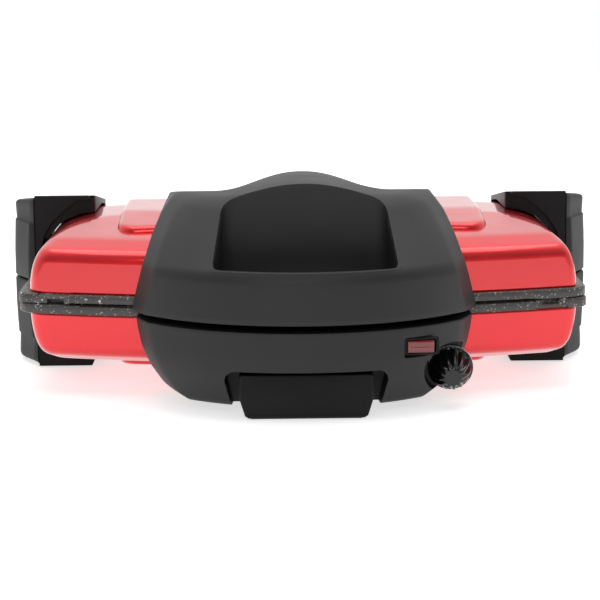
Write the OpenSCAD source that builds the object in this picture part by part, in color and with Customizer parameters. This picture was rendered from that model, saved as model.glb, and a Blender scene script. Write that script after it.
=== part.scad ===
// Electric contact grill with a hinged lid, lid closed.
// +X is the user's right, -Y is the front, +Z is up. The origin lies on the
// worktop, under the middle of the grill. All sizes are in millimetres.

/* [Stance] */
// How far the rear legs reach past the shells' crowns, above and below
leg_h = 13; // [11:0.5:16]
// Open gap between the two halves at the parting plane
part_gap = 0.6; // [0.4:0.1:1]
// Thickness of the rubber foot pads
pad_t = 2.5; // [2:0.5:4]
// Depth of the seat that holds a foot pad
pad_seat = 1.5; // [1:0.5:1.5]
// Length of a rear foot pad
pad_l = 80; // [60:2:84]
// Width of a rear foot pad
pad_w = 30; // [24:1:34]

/* [Shells] */
// Width of the pressed shells
shell_w = 408; // [396:2:414]
// Distance from the origin to the front edge of the shells, at the middle
shell_front = 88; // [84:1:89]
// Distance from the origin to the rear edge of the shells
shell_rear = 146; // [136:1:147]
// Bow of the front edge across the whole width
shell_bow = 33; // [20:1:40]
// Rounding of the shell's corners, seen from above
shell_corner_r = 16; // [10:1:24]
// Height of a shell from the parting plane to its crown
shell_h = 56; // [52:1:57]
// Wall of the pressed shells
shell_t = 1; // [0.8:0.1:1.6]
// Width of the raised panel along the middle of a shell
ridge_w = 280; // [270:2:300]
// Height of the raised panel
ridge_h = 4; // [2:0.5:5]
// Distance from the origin to the front step of the raised panel
ridge_front = 34; // [20:1:44]

/* [Plates] */
// Height of a plate's rim
rim_h = 7.2; // [6:0.2:9]
// How far the rims stand out past the shells at the sides
rim_side = 8; // [6:1:10]
// How far the rims stand out past the shells at the front
rim_front = 3; // [2:0.5:5]
// Width of the rim's flat top
rim_land = 14; // [12:1:18]
// Depth of the cooking tray below the rim's top
tray_d = 8; // [7:0.5:10]
// Thickness of the cooking tray's floor
tray_t = 3; // [2.5:0.5:4]
// Height of the cooking ribs
rib_h = 4.5; // [3:0.5:5]
// Width of a cooking rib
rib_w = 5; // [4:0.5:7]
// Distance between cooking ribs
rib_pitch = 14; // [12:1:20]

/* [Lid cover and handle] */
// Radius of the cover's bowed front, seen from above
cover_r = 150; // [146:1:150]
// Distance from the origin back to the centre of that bow
cover_axis = 15; // [10:1:15]
// Half width of the cover at its lower edge
cover_half_w = 123; // [118:1:126]
// Height of the cover's flat top above the parting plane
cover_top = 82; // [79:1:84]
// Height of the hump's crest above the parting plane
hump_top = 94; // [89:1:97]
// Half width of the hump
hump_half_w = 64; // [58:1:70]
// Wall of the black mouldings
wall = 3; // [2.5:0.1:3.5]
// Half width of the grip pocket
pocket_half_w = 61; // [52:1:64]
// Thickness of the handle bar in front of the pocket
bar_t = 5; // [4:0.5:8]
// Rear side of the grip pocket, in front of the origin
pocket_rear = 94; // [94:1:100]
// Height of the grip pocket's floor above the parting plane
pocket_floor = 9; // [7:1:20]
// Rounding of the pocket's corners
pocket_r = 12; // [8:1:16]

/* [Front panel] */
// Distance from the parting plane down to the panel's upper edge
panel_top = 5.3; // [4.5:0.1:9]
// Height of the panel's underside
panel_low = 7; // [6:0.5:9]
// Half width of the front foot
foot_half_w = 47; // [40:1:50]
// Distance from the origin to the front foot's face
foot_front = 151; // [146:1:153]
// Distance from the origin to the rear wall of the foot's alcove
alcove_back = 122; // [118:1:130]
// Height of the front foot's block
foot_h = 33; // [30:0.5:35]
// Length of a panel screw
panel_screw_l = 14; // [10:1:15]

/* [Controls] */
// Distance of the knob's axis in from the side of the cover
knob_x = 18; // [17:1:21]
// Height of the knob's seat above the panel's underside
knob_z = 20; // [19:0.5:22]
// Distance of the knob's seat in front of the shells
knob_y = 24.3; // [23.5:0.1:26]
// Downward tilt of the knob's axis
knob_tilt = 8; // [4:1:12]
// Radius of the knob's flange
knob_r = 16; // [14:0.5:17]
// Length of the knob
knob_l = 22; // [18:1:25]
// Number of finger flutes around the knob
knob_flutes = 13; // [9:1:16]
// Radius of the thermostat's shaft
shaft_r = 2.5; // [2:0.1:3]
// Radius of the threaded bush that holds the thermostat in its seat
bush_r = 4; // [3.5:0.1:4.5]
// Air around the knob in its recess
knob_air = 5; // [3:0.5:6]
// Distance of the rocker switch in from the side of the cover
switch_x = 42; // [40:1:44]
// Distance from the parting plane down to the middle of the rocker switch
switch_z = 19.5; // [19:0.5:21]
// Width of the switch's bezel
bezel_w = 26; // [24:0.5:27]
// Height of the switch's bezel
bezel_h = 12.6; // [11:0.2:13.4]

/* [Legs and hinge] */
// Distance from the origin to the legs' front faces
leg_front = 40; // [34:1:60]
// How far the legs' outer sides stand out past the shells' sides
leg_half_w = 27; // [25:1:30]
// Distance of the tips of the legs' hooks in from the shells' sides
hook_tip = 39; // [35:1:45]
// Thickness of the base legs' hooks
hook_t = 8; // [6:0.5:9]
// Thickness of the lid legs' lips
lip_t = 3.6; // [3:0.2:5]
// Depth of the lid legs' lips, from front to rear
lip_d = 5; // [4:0.5:8]
// How far the tops of the lid's legs fall towards the rear
leg_drop = 16; // [12:1:17]
// Distance between the two screws of a leg
leg_screw_gap = 48; // [40:1:54]
// Distance from the origin to the hinge axis
hinge_y = 152; // [152:1:154]
// Radius of the hinge knuckles
knuckle_r = 13; // [10:0.5:13]
// Width of one hinge knuckle
knuckle_w = 5.8; // [5:0.2:6]
// Radius of the hinge pin
pin_r = 4; // [3:0.5:5]

/* [Heating] */
// Radius of the heating rods
rod_r = 3.2; // [3:0.1:4]
// Distance between the two long runs of a heating rod
rod_span = 130; // [110:2:140]
// Length of a heating rod's straight runs
rod_run = 220; // [180:5:230]
// Depth of the heat reflector below the plate
reflector_d = 13; // [11:1:16]
// Sheet thickness of the heat reflector
reflector_t = 1; // [0.8:0.1:1.5]

/* [Hidden] */
$fn = 48;
mid_z = shell_h + leg_h;
full_h = 2 * mid_z;
cover_z = mid_z + cover_top;
hump_z = mid_z + hump_top;
pocket_z = mid_z + pocket_floor;
panel_z = mid_z - panel_top;
half_gap = part_gap / 2;
air = 0.4;
run_fit = 0.05;
seat_top = mid_z - half_gap - rim_h;
shell_half = shell_w / 2;
leg_out = shell_half + leg_half_w;
tip_x = shell_half - hook_tip;
big = 400;
leg_rear = hinge_y - 1.5;
web_in = shell_half + 2.5;
web_out = web_in + 2.8;
knuckle_1 = web_out + 1;
knuckle_2 = knuckle_1 + knuckle_w + air;
knuckle_end = knuckle_2 + knuckle_w;
cap_in = knuckle_end + 1.8;
tray_z = mid_z - half_gap - tray_d;
plate_low = tray_z - tray_t;
screw_r = 1.8;
screw_head_r = 3.6;
screw_head_t = 2;
switch_w = bezel_w - 5;
switch_h = bezel_h - 3.2;
rocker_tilt = 8;
leg_screw_y = [leg_front + 30, leg_front + 30 + leg_screw_gap];
leg_screw_z = mid_z + 16;
panel_screw_x = cover_half_w - 39;
knob_at = cover_half_w - knob_x;
switch_at = cover_half_w - switch_x;
switch_seat = 1.56;
thermostat_l = 14;
panel_screw_y = -64;
rod_z = plate_low - air - rod_r;
clip_x = [-rod_run / 2 + 30, rod_run / 2 - 30];
element_y = 26;

// ---------- plane geometry ----------

function unit(v) = v / norm(v);

// The points of an arc that rounds corner p between its neighbours a and b.
function corner_arc(a, p, b, r, n) =
    r <= 0 ? [p] :
    let (
        u = unit(a - p),
        v = unit(b - p),
        half = acos(max(-1, min(1, u * v))) / 2,
        reach = min(r / tan(half), 0.45 * norm(a - p), 0.45 * norm(b - p)),
        re = reach * tan(half),
        c = p + unit(u + v) * re / sin(half),
        from = p + u * reach - c,
        to = p + v * reach - c,
        a0 = atan2(from[1], from[0]),
        sweep = (atan2(to[1], to[0]) - a0 + 540) % 360 - 180
    )
    [for (i = [0:n]) c + re * [cos(a0 + sweep * i / n), sin(a0 + sweep * i / n)]];

function flat_point(p) = [p[0], p[1]];

// A closed outline whose corners are [x, y, rounding radius].
function rounded(path, n = 5) = [
    for (i = [0:len(path) - 1])
        let (
            a = flat_point(path[(i + len(path) - 1) % len(path)]),
            p = flat_point(path[i]),
            b = flat_point(path[(i + 1) % len(path)])
        )
        each corner_arc(a, p, b, path[i][2], n)
];

// A left half, bottom to top, and its mirror image, top to bottom.
function both_sides(half) = concat(
    [for (p = half) [-p[0], p[1], p[2]]],
    [for (i = [len(half) - 1:-1:0]) half[i]]
);

// Extrudes an X-Z outline along Y.
module across_y(y0, y1) {
    translate([0, y1, 0]) rotate([90, 0, 0]) linear_extrude(y1 - y0) children();
}

// Extrudes a Y-Z outline along X.
module across_x(x0, x1) {
    translate([x0, 0, 0]) rotate([90, 0, 90]) linear_extrude(x1 - x0) children();
}

module on_x(x, y, z, r, l) {
    translate([x, y, z]) rotate([0, 90, 0]) cylinder(r = r, h = l);
}

// Turns a piece of the lower half into the same piece of the lid.
module over_parting() {
    translate([0, 0, full_h]) mirror([0, 0, 1]) children();
}

module other_side() {
    mirror([1, 0, 0]) children();
}

// ---------- pressed shells ----------

bow_r = (pow(shell_half, 2) + pow(shell_bow, 2)) / (2 * shell_bow);

// Outline of the shells seen from above, grown by side and by front.
function plan_path(side, front, corner) =
    let (
        w = shell_half + side,
        r = bow_r + front,
        cy = bow_r - shell_front,
        front_pts = [for (k = [-0.8:0.2:0.81]) [k * w, cy - sqrt(r * r - k * k * w * w), 0]]
    )
    concat(
        [[-w, cy - sqrt(r * r - w * w), corner]],
        front_pts,
        [[w, cy - sqrt(r * r - w * w), corner],
         [w, shell_rear + min(front, 2), corner / 2],
         [-w, shell_rear + min(front, 2), corner / 2]]
    );

// Crown of a shell across its width: height against distance from the middle.
function crown_path(d) = concat(
    [for (u = [0, 0.05, 0.2, 0.36, 0.5, 0.64, 0.75, 0.85, 0.93, 0.98])
        [(shell_half + d) * pow(1 - pow(u, 2.8), 0.1), mid_z + (shell_h + d) * u, 0]],
    [[(shell_half + d) * 0.7, mid_z + (shell_h + d) * 0.998, 0],
     [(shell_half + d) * 0.4, mid_z + shell_h + d, 0]]
);

// A solid lid form, grown by d on every side; the front is a turned surface
// about the centre of the bow.
module lid_form(d) {
    intersection() {
        translate([0, bow_r - shell_front, 0]) rotate_extrude($fn = 96) polygon(rounded([
            [0, mid_z, 0],
            [bow_r + d, mid_z, 0],
            [bow_r - 1.5 + d, mid_z + 38 + d, 10],
            [bow_r - 24, mid_z + shell_h - 10 + d, 20],
            [bow_r - 90, mid_z + shell_h + d, 60],
            [0, mid_z + shell_h + d, 0],
        ]));
        across_y(-big, big) polygon(rounded(both_sides(crown_path(d))));
        translate([0, 0, mid_z - 1]) linear_extrude(shell_h + d + 10)
            polygon(rounded(plan_path(d, d, shell_corner_r)));
        across_x(-big, big) polygon(rounded([
            [-big, mid_z, 0],
            [shell_rear + d, mid_z, 0],
            [shell_rear - 2 + d, mid_z + shell_h - 8 + d, 12],
            [shell_rear - 60, mid_z + shell_h + d, 60],
            [-big, mid_z + shell_h + d, 0],
        ]));
    }
    ridge(d);
}

// The raised panel along the middle of the lid form.
module ridge(d) {
    half = ridge_w / 2 + d;
    top = mid_z + shell_h + ridge_h + d;
    intersection() {
        across_x(-half, half) polygon(rounded([
            [-ridge_front - d, mid_z + 20, 0],
            [-ridge_front - d, top - 6.4, 3],
            [-ridge_front + 40, top, 30],
            [shell_rear - 60, top, 30],
            [shell_rear - 8 + d, top - 11, 8],
            [shell_rear - 8 + d, mid_z + 20, 0],
        ]));
        across_y(-big, big) polygon(rounded([
            [-half, mid_z + 10, 0],
            [-half, top - 5, 3],
            [-half + 5, top, 3],
            [half - 5, top, 3],
            [half, top - 5, 3],
            [half, mid_z + 10, 0],
        ]));
        translate([0, 0, mid_z]) linear_extrude(big)
            polygon(rounded([
                [-half, -ridge_front - d, 14],
                [half, -ridge_front - d, 14],
                [half, shell_rear - 8 + d, 10],
                [-half, shell_rear - 8 + d, 10],
            ]));
    }
}

module shell_blank() {
    difference() {
        lid_form(0);
        lid_form(-shell_t);
        translate([-big, -big, 0]) cube([2 * big, 2 * big, mid_z + half_gap + rim_h]);
        for (side = [-1, 1], y = leg_screw_y)
            on_x(side > 0 ? shell_half - 12 : -shell_half - 3, y, leg_screw_z + 7,
                 screw_r + run_fit, 15);
    }
}

module upper_shell() {
    color("crimson") shell_blank();
}

module lower_shell() {
    color("crimson") difference() {
        over_parting() shell_blank();
        for (x = [-panel_screw_x, panel_screw_x])
            translate([x, panel_screw_y, 0]) cylinder(r = screw_r + run_fit, h = mid_z / 2);
        gland_hole();
    }
}

// ---------- cooking plates ----------

// Outline of a plate's rim: wide in front of the legs, narrow between them.
module rim_plan(grow) {
    intersection() {
        polygon(rounded(plan_path(rim_side + grow, rim_front + grow, shell_corner_r + 4)));
        union() {
            translate([-big, -big]) square([2 * big, big + leg_front - 2 + grow]);
            translate([-web_in + 1 - grow, -big])
                square([2 * (web_in - 1 + grow), 2 * big]);
        }
    }
}

module tray_plan(inset) {
    polygon(rounded(plan_path(-inset, -inset, shell_corner_r)));
}

module plate_blank() {
    difference() {
        union() {
            translate([0, 0, seat_top]) linear_extrude(rim_h) rim_plan(0);
            translate([0, 0, plate_low]) linear_extrude(seat_top - plate_low + 0.01)
                tray_plan(rim_land - 4);
        }
        translate([0, 0, tray_z]) linear_extrude(tray_d + 1) tray_plan(rim_land);
        lift_notch();
    }
    ribs();
}

// The cooking ribs run from front to back and stop short of the drain channel.
module ribs() {
    count = floor((shell_half - rim_land - 12) / rib_pitch);
    for (i = [-count:count]) {
        x = i * rib_pitch;
        y0 = bow_r - shell_front - sqrt(pow(bow_r - rim_land - 8, 2) - x * x);
        translate([x - rib_w / 2, y0, tray_z - 0.01])
            cube([rib_w, shell_rear - rim_land - 8 - y0, rib_h + 0.01]);
    }
}

// Slot in the rim's top edge that a finger nail lifts the plate by.
module lift_notch() {
    translate([shell_half - 38, -shell_front - 10, mid_z - half_gap - 1.8]) cube([18, 50, 3]);
}

module lower_plate() {
    color([0.28, 0.27, 0.26]) plate_blank();
}

// The same casting, turned over about the front-to-back axis.
module upper_plate() {
    color([0.28, 0.27, 0.26])
        translate([0, 0, full_h]) rotate([0, 180, 0]) plate_blank();
}

// ---------- heating ----------

// A heating rod bent to a U, with its two cold ends turned to the rear.
module element_blank() {
    translate([0, element_y, rod_z]) {
        for (y = [-rod_span / 2, rod_span / 2])
            on_x(-rod_run / 2, y, 0, rod_r, rod_run);
        for (side = [-1, 1])
            translate([side * rod_run / 2, 0, 0]) rotate([0, 0, side > 0 ? -90 : 90])
                rotate_extrude(angle = 180) translate([rod_span / 2, 0]) circle(r = rod_r);
    }
}

module clip_blank() {
    for (x = clip_x, y = [-rod_span / 2, rod_span / 2])
        translate([x, element_y + y, 0]) difference() {
            translate([-5, -rod_r - 3, rod_z - rod_r - 1.5])
                cube([10, 2 * rod_r + 6, plate_low - rod_z + rod_r + 1.5]);
            on_x(-6, 0, rod_z, rod_r + run_fit, 12);
        }
}

// A shallow sheet tray under the plate that throws the heat back.
module reflector_blank() {
    rim = rim_land + 8;
    difference() {
        translate([0, 0, plate_low - reflector_d]) linear_extrude(reflector_d) tray_plan(rim);
        translate([0, 0, plate_low - reflector_d + reflector_t])
            linear_extrude(reflector_d) tray_plan(rim + reflector_t);
    }
}

module lower_element() {
    color([0.45, 0.44, 0.43]) element_blank();
}

module upper_element() {
    color([0.45, 0.44, 0.43]) over_parting() element_blank();
}

module lower_element_clips() {
    color("silver") clip_blank();
}

module upper_element_clips() {
    color("silver") over_parting() clip_blank();
}

module lower_reflector() {
    color("gainsboro") reflector_blank();
}

module upper_reflector() {
    color("gainsboro") over_parting() reflector_blank();
}

// ---------- lid cover with the handle ----------

cover_low = mid_z - half_gap;
cover_back = shell_rear - 34;

// Half of the cover seen from the front, bottom to top.
function cover_half(d) = [
    [cover_half_w - d, 0, 0],
    [cover_half_w - d, cover_low + 4, 10],
    [cover_half_w - 10 - d, cover_z - 38, 30],
    [cover_half_w - 19 - d, cover_z - 18, 12],
    [cover_half_w - 33 - d, cover_z - d, 6],
];

module cover_form(d) {
    intersection() {
        union() {
            translate([0, -cover_axis, 0]) rotate_extrude($fn = 96) polygon(rounded([
                [0, 0, 0],
                [cover_r - d, 0, 0],
                [cover_r - 1 - d, cover_low + 31 - d, 16],
                [cover_r - 52 - d, cover_z - d, 30],
                [0, cover_z - d, 0],
            ]));
            translate([-cover_half_w, -cover_axis, 0])
                cube([2 * cover_half_w, cover_back + cover_axis - d, cover_z - d]);
        }
        across_y(-big, big) polygon(rounded(both_sides(cover_half(d))));
        across_x(-big, big) polygon(rounded([
            [-big, 0, 0],
            [-big, cover_z - d, 0],
            [-58, cover_z - d, 40],
            [cover_back - 12, mid_z + shell_h + 7.6 - d, 8],
            [cover_back - d, mid_z + shell_h, 0],
            [cover_back - d, 0, 0],
        ]));
    }
}

// The hump over the pocket's rear wall: a bell across the width.
module hump_form(d) {
    rise = hump_z - cover_z;
    bell = [for (k = [-1:0.125:1])
        [k * hump_half_w, cover_z - 8 - d + (rise + 8) * (0.5 + 0.5 * cos(180 * pow(abs(k), 1.15)))]];
    intersection() {
        across_y(-pocket_rear + d, cover_back - 26 - d)
            polygon(concat([[-hump_half_w, cover_z - 12 - d]], bell,
                           [[hump_half_w, cover_z - 12 - d]]));
        across_x(-big, big) polygon(rounded([
            [-pocket_rear - 10, cover_z - 20, 0],
            [-pocket_rear - 10, hump_z - 1 - d, 0],
            [-40, hump_z - d, 40],
            [0, hump_z - 2 - d, 40],
            [cover_back - 26, cover_z - 19 - d, 20],
        ]));
    }
}

// The pocket's front follows the cover's bow at the thickness of the bar.
module pocket_form(grow) {
    w = pocket_half_w + grow;
    r = cover_r - bar_t + grow;
    translate([0, 0, pocket_z - grow]) linear_extrude(big) polygon(rounded(concat(
        [[w, -pocket_rear + grow, pocket_r + grow],
         [-w, -pocket_rear + grow, pocket_r + grow]],
        [for (k = [-1:0.25:1])
            [k * w, -cover_axis - sqrt(r * r - k * k * w * w), abs(k) == 1 ? 4 : 0]]
    )));
}

module lid_cover() {
    color([0.13, 0.13, 0.13]) difference() {
        union() {
            difference() {
                cover_form(0);
                cover_form(wall);
            }
            difference() {
                hump_form(0);
                hump_form(wall);
                cover_form(wall);
            }
            intersection() {
                cover_form(0);
                pocket_form(wall - 0.5);
            }
        }
        intersection() {
            pocket_form(0);
            translate([-big, -big, 0]) cube([2 * big, big - pocket_rear, big]);
        }
        lid_form(air);
        translate([-big, -big, 0]) cube([2 * big, 2 * big, cover_low]);
        translate([0, 0, cover_low - 1]) linear_extrude(rim_h + part_gap + 1 + air) rim_plan(air);
    }
}

// Closes the hollow handle from below.
module handle_underside() {
    color([0.1, 0.1, 0.1]) difference() {
        intersection() {
            cover_form(wall + air);
            translate([-big, -big, cover_low + 0.6]) cube([2 * big, 2 * big, wall]);
        }
        translate([0, 0, 0]) linear_extrude(big) rim_plan(air + 0.6);
        lid_form(air);
    }
}

// ---------- front panel ----------

module panel_form(d) {
    intersection() {
        translate([0, -cover_axis, 0]) rotate_extrude($fn = 96) polygon(rounded([
            [0, panel_low + d, 0],
            [cover_r - 17 - d, panel_low + d, 8],
            [cover_r - 1 - d, panel_low + 30 - d, 30],
            [cover_r - d, panel_z - d, 0],
            [0, panel_z - d, 0],
        ]));
        across_y(-big, -45 + d) polygon(rounded([
            [-cover_half_w + 33 + d, panel_low + d, 8],
            [-cover_half_w + 20 + d, panel_low + 8.5, 12],
            [-cover_half_w + 9 + d, panel_low + 23, 20],
            [-cover_half_w + 1 + d, panel_z - 6.7, 10],
            [-cover_half_w + 1 + d, panel_z - d, 0],
            [cover_half_w - 1 - d, panel_z - d, 0],
            [cover_half_w - 1 - d, panel_z - 6.7, 10],
            [cover_half_w - 9 - d, panel_low + 23, 20],
            [cover_half_w - 20 - d, panel_low + 8.5, 12],
            [cover_half_w - 33 - d, panel_low + d, 8],
        ]));
    }
}

// Where the panel's bow and the shells' front lie at a distance from the middle.
function bow_y(x) = -cover_axis - sqrt(pow(cover_r - 1, 2) - x * x);
function shell_y(x) = bow_r - shell_front - sqrt(bow_r * bow_r - x * x);

// The knob's own frame: +Z points out of the panel along the knob's axis.
module at_knob() {
    translate([knob_at, shell_y(knob_at) - knob_y, panel_low + knob_z])
        rotate([90 + knob_tilt, 0, 0]) children();
}

// The switch's own frame: +Z points out of the panel.
module at_switch() {
    translate([switch_at, switch_seat + bow_y(switch_at), mid_z - switch_z])
        rotate([90, 0, 0]) rotate([0, 12, 0]) children();
}

module foot_alcove(grow) {
    across_y(-big, -alcove_back + grow) polygon(rounded([
        [-foot_half_w - 4 - grow, 0, 0],
        [-foot_half_w - 13 - grow, foot_h + 1 + grow, 5],
        [foot_half_w + 13 + grow, foot_h + 1 + grow, 5],
        [foot_half_w + 4 + grow, 0, 0],
    ]));
}

module front_panel() {
    color([0.13, 0.13, 0.13]) difference() {
        union() {
            difference() {
                panel_form(0);
                panel_form(wall - 0.5);
            }
            intersection() {
                panel_form(0);
                union() {
                    foot_alcove(wall - 0.5);
                    at_knob() translate([0, 0, -wall]) cylinder(r = knob_r + knob_air + 2.5, h = 60);
                    at_switch() translate([0, 0, 12 - wall])
                        cube([bezel_w + 9, bezel_h + 8, 30], center = true);
                    translate([-panel_screw_x, panel_screw_y, panel_low]) cylinder(r = 5, h = 4.5);
                    translate([panel_screw_x, panel_screw_y, panel_low]) cylinder(r = 5, h = 4.5);
                }
            }
        }
        at_knob() cylinder(r = knob_r + knob_air, h = 60);
        at_knob() translate([0, 0, -wall - 1]) cylinder(r = bush_r + run_fit, h = 10);
        at_knob() translate([0, 0, -wall - thermostat_l - 1])
            cylinder(r = bush_r + air, h = thermostat_l + 1);
        at_switch() translate([0, 0, 15]) cube([bezel_w + 2, bezel_h + 2, 30], center = true);
        at_switch() translate([0, 0, -5])
            cube([switch_w + 2.2, switch_h + 1.6, 30], center = true);
        foot_alcove(0);
        over_parting() lid_form(air);
        translate([0, 0, seat_top - air]) linear_extrude(big) rim_plan(air);
        for (x = [-panel_screw_x, panel_screw_x])
            translate([x, panel_screw_y, 0]) {
                cylinder(r = screw_r + run_fit, h = 20);
                cylinder(r = screw_head_r + run_fit, h = panel_low + screw_head_t);
            }
    }
}

foot_back = alcove_back + air;

module front_foot() {
    bevel = [foot_half_w - 5.5, foot_half_w - 2, foot_half_w];
    color([0.1, 0.1, 0.1]) difference() {
        across_y(-foot_front, -foot_back) polygon(rounded([
            [-bevel[0], pad_t - pad_seat, 1],
            [-bevel[1], 4.5, 1],
            [-bevel[2], 12, 1],
            [-bevel[2], foot_h, 3],
            [bevel[2], foot_h, 3],
            [bevel[2], 12, 1],
            [bevel[1], 4.5, 1],
            [bevel[0], pad_t - pad_seat, 1],
        ]));
        across_y(-foot_front + wall, -foot_back + 1) polygon([
            [-foot_half_w + 6, 8],
            [-foot_half_w + 4, 14],
            [-foot_half_w + 4, foot_h - wall],
            [foot_half_w - 4, foot_h - wall],
            [foot_half_w - 4, 14],
            [foot_half_w - 6, 8],
        ]);
        foot_pad_form(0);
    }
}

module foot_pad_form(inset) {
    translate([-foot_half_w + 8 + inset, -foot_front + 4 + inset, 0])
        cube([2 * (foot_half_w - 8 - inset), foot_front - foot_back - 8 - 2 * inset, pad_t]);
}

module front_foot_pad() {
    color([0.08, 0.08, 0.08]) foot_pad_form(run_fit);
}

// ---------- controls ----------

// The thermostat's body lies beside its bush, towards the middle, where the
// panel has room for it.
module thermostat() {
    color([0.75, 0.72, 0.6]) at_knob() difference() {
        union() {
            translate([0, 0, -wall - thermostat_l])
                cylinder(r = bush_r, h = thermostat_l + wall + 0.5);
            translate([-17, -5, -wall - thermostat_l]) cube([16, 17, thermostat_l - 0.1]);
        }
        translate([0, 0, -wall - 10]) cylinder(r = shaft_r + run_fit, h = 30);
    }
}

module thermostat_shaft() {
    color("silver") at_knob() translate([0, 0, -wall - 9.5])
        cylinder(r = shaft_r, h = wall + 9.5 + knob_l - 6);
}

// A thin bright ring on the knob's seat.
module knob_ring() {
    color("silver") at_knob() difference() {
        cylinder(r = knob_r + 0.6, h = 0.8);
        translate([0, 0, -1]) cylinder(r = bush_r + 0.5, h = 3);
    }
}

module control_knob() {
    color([0.05, 0.05, 0.05]) at_knob() translate([0, 0, 1.2]) difference() {
        rotate_extrude() polygon([
            [0, 0],
            [knob_r, 0],
            [knob_r, 2],
            [knob_r - 1, 2.4],
            [knob_r - 1.6, knob_l * 0.5],
            [knob_r - 4, knob_l * 0.76],
            [knob_r - 8, knob_l * 0.93],
            [4.4, knob_l],
            [0, knob_l],
        ]);
        for (i = [0:knob_flutes - 1]) rotate([0, 0, 360 * i / knob_flutes])
            translate([knob_r - 0.2, 0, 4.5]) cylinder(r = 2.2, h = 40);
        translate([0, 0, -1]) cylinder(r = shaft_r + run_fit, h = knob_l - 5.5);
    }
}

module switch_housing() {
    color([0.1, 0.1, 0.1]) at_switch() difference() {
        translate([-switch_w / 2 - 0.8, -switch_h / 2 - 0.6, -17])
            cube([switch_w + 1.6, switch_h + 1.2, 17 - 0.1]);
        translate([-switch_w / 2, -switch_h / 2, -10]) cube([switch_w, switch_h, 20]);
        rotate([90, 0, 0]) translate([0, -3, -20]) cylinder(r = 1.5 + run_fit, h = 40);
    }
}

module switch_bezel() {
    color([0.15, 0.15, 0.15]) at_switch() difference() {
        translate([-bezel_w / 2, -bezel_h / 2, 0]) cube([bezel_w, bezel_h, 2]);
        translate([-switch_w / 2, -switch_h / 2, -1]) cube([switch_w, switch_h, 4]);
    }
}

// The red key rocks about a pin that lies across the housing.
module rocker_switch() {
    half = switch_w / 2 - 1.2;
    color([0.7, 0.05, 0.05]) at_switch() translate([0, 0, -3]) rotate([0, -rocker_tilt, 0]) {
        translate([0, switch_h / 2 - 0.3, 0]) rotate([90, 0, 0])
            linear_extrude(switch_h - 0.6) polygon([
                [-half, -1],
                [-half, 6.6],
                [0, 5],
                [half, 6.6],
                [half, -1],
                [0, -3.5],
            ]);
        rotate([90, 0, 0]) translate([0, 0, -switch_h / 2 - 0.5])
            cylinder(r = 1.5, h = switch_h + 1);
    }
}

// ---------- wiring ----------

floor_z = full_h - mid_z - shell_h + shell_t - ridge_h;

module gland_hole() {
    translate([150, shell_rear - 10, mid_z - 22]) rotate([-90, 0, 0])
        cylinder(r = 6 + run_fit, h = 30);
}

// The moulded inlet that the mains lead enters by.
module cord_gland() {
    color([0.1, 0.1, 0.1]) translate([150, shell_rear, mid_z - 22]) rotate([-90, 0, 0])
        difference() {
            union() {
                translate([0, 0, -8]) cylinder(r = 6, h = 10);
                translate([0, 0, 0.6]) cylinder(r = 8, h = 4);
                translate([0, 0, -8]) cylinder(r = 8, h = 5);
            }
            translate([0, 0, -20]) cylinder(r = 3.4, h = 40);
        }
}

module terminal_block() {
    color([0.85, 0.83, 0.75]) translate([70, 54, floor_z + 0.3]) difference() {
        cube([34, 18, 13]);
        for (i = [0:2]) translate([6 + i * 11, 9, 5]) cylinder(r = 2.2, h = 10);
    }
}

// A fuse link in its porcelain sleeve, clamped under the reflector.
module thermal_fuse() {
    color("white") translate([-20, 60, plate_low - reflector_d - 3.3])
        rotate([0, 90, 0]) cylinder(r = 3, h = 26);
}

// ---------- legs and hinge ----------

// Outline of a leg seen from the front, right side of the lid: it follows the
// shell at a distance and ends in a hook of thickness t above it.
leg_top = full_h - pad_t + pad_seat;
function leg_path(t) = [
    [web_in, mid_z + half_gap, 0],
    [web_in - 0.5, mid_z + 24, 20],
    [web_in - 4, mid_z + 37, 14],
    [web_in - 11, mid_z + 48, 16],
    [web_in - 20, mid_z + 56.5, 16],
    [web_in - 30, leg_top - t, 12],
    [tip_x, leg_top - 0.8 * t, 1.5],
    [tip_x + 2, leg_top, 1.5],
    [web_out, leg_top, 0],
    [web_out, mid_z + half_gap, 0],
];

module knuckle(x) {
    on_x(x, hinge_y, mid_z, knuckle_r, knuckle_w);
}

// Screw bosses that bridge the gap between a leg and the shell's side.
module leg_bosses(r, from, to) {
    for (y = leg_screw_y) on_x(from, y, leg_screw_z + 7, r, to - from);
}

// All that lies at least d below a leg's top, which falls by fall to the rear.
module below_top(fall, d) {
    across_x(-big, big) polygon([
        [0, 0],
        [0, leg_top - d],
        [leg_front + 4, leg_top - d],
        [leg_rear, leg_top - fall - d],
        [leg_rear + 40, leg_top - fall - d],
        [leg_rear + 40, 0],
    ]);
}

// Behind its lip, a lid leg fills the space down to the shell.
module leg_saddle() {
    difference() {
        intersection() {
            across_y(leg_front + lip_d - 0.01, leg_rear) polygon([
                [web_in, mid_z + half_gap],
                [web_in, mid_z + 34],
                [tip_x - 3, mid_z + 34],
                [tip_x - 3, leg_top],
                [web_out, leg_top],
                [web_out, mid_z + half_gap],
            ]);
            linear_extrude(big) polygon(rounded([
                [tip_x - 3, leg_front + 1, 8],
                [web_out + 30, leg_front + 1, 0],
                [web_out + 30, leg_rear + 10, 0],
                [tip_x - 3, leg_rear + 10, 20],
            ]));
        }
        lid_form(1.2);
    }
}

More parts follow.
